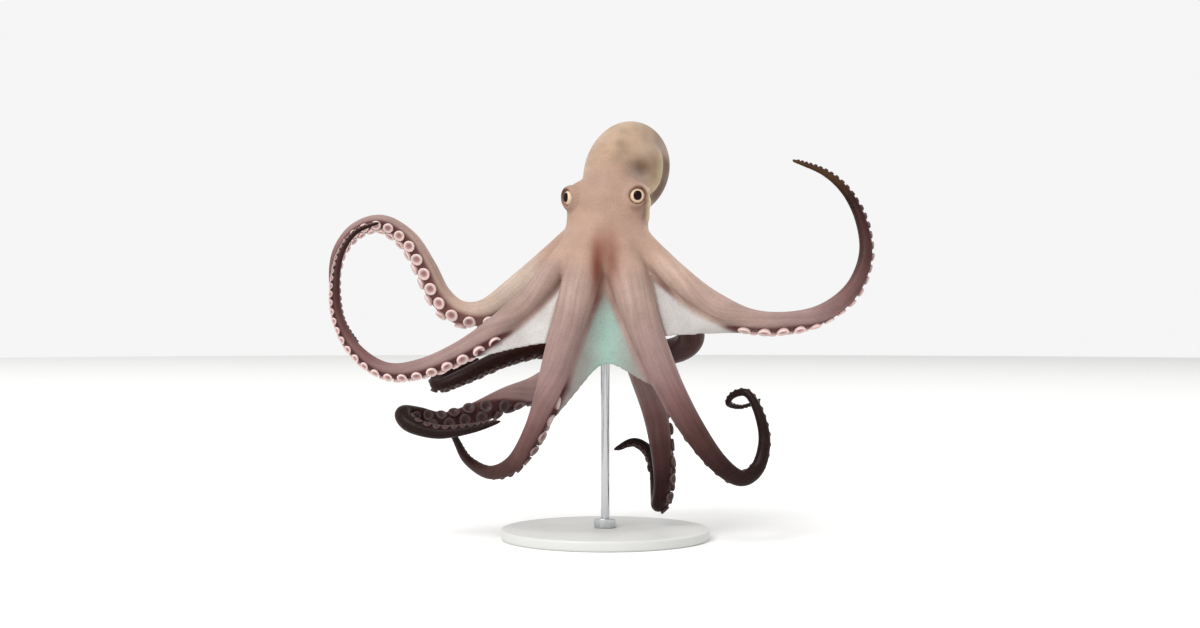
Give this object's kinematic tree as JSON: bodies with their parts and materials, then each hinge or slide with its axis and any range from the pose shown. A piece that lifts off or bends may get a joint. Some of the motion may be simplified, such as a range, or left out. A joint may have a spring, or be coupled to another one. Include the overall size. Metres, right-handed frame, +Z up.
{
  "type": "octopus",
  "caption": "Life-size octopus model in a swimming pose, arms spread and curling, webs between them, on a rod and a round base.",
  "frame": {"origin": "centre of the stand's underside", "axes": "+X towards the animal's left arms, along the longest extent; -Y the way the animal faces; +Z up, away from the surface the stand rests on"},
  "size_m": [0.6259, 0.2942, 0.4895],
  "materials": {
    "arm": "moist skin, mauve-brown, darker towards the tips",
    "web": "thin pale skin",
    "head": "moist skin, pinkish tan",
    "mantle": "moist skin, tan",
    "funnel": "moist skin, pale",
    "eye": "wet, dark pupil in a cream ring",
    "stand_base": "pale grey, satin",
    "stand_rod": "brushed"
  },
  "bodies": {
    "root": {"arm_L1_mid": "arm", "arm_L1_root": "arm", "arm_L1_tip": "arm", "arm_L2_mid": "arm", "arm_L2_root": "arm", "arm_L2_tip": "arm", "arm_L3_mid": "arm", "arm_L3_root": "arm", "arm_L3_tip": "arm", "arm_L4_mid": "arm", "arm_L4_root": "arm", "arm_L4_tip": "arm", "arm_R1_mid": "arm", "arm_R1_root": "arm", "arm_R1_tip": "arm", "arm_R2_mid": "arm", "arm_R2_root": "arm", "arm_R2_tip": "arm", "arm_R3_mid": "arm", "arm_R3_root": "arm", "arm_R3_tip": "arm", "arm_R4_mid": "arm", "arm_R4_root": "arm", "arm_R4_tip": "arm", "eye_L": "eye", "eye_R": "eye", "funnel": "funnel", "head": "head", "mantle": "mantle", "stand_base": "stand_base", "stand_rod": "stand_rod", "web_L12": "web", "web_L23": "web", "web_L34": "web", "web_R12": "web", "web_R23": "web", "web_R34": "web", "web_back": "web", "web_front": "web"}
  },
  "joints": []
}
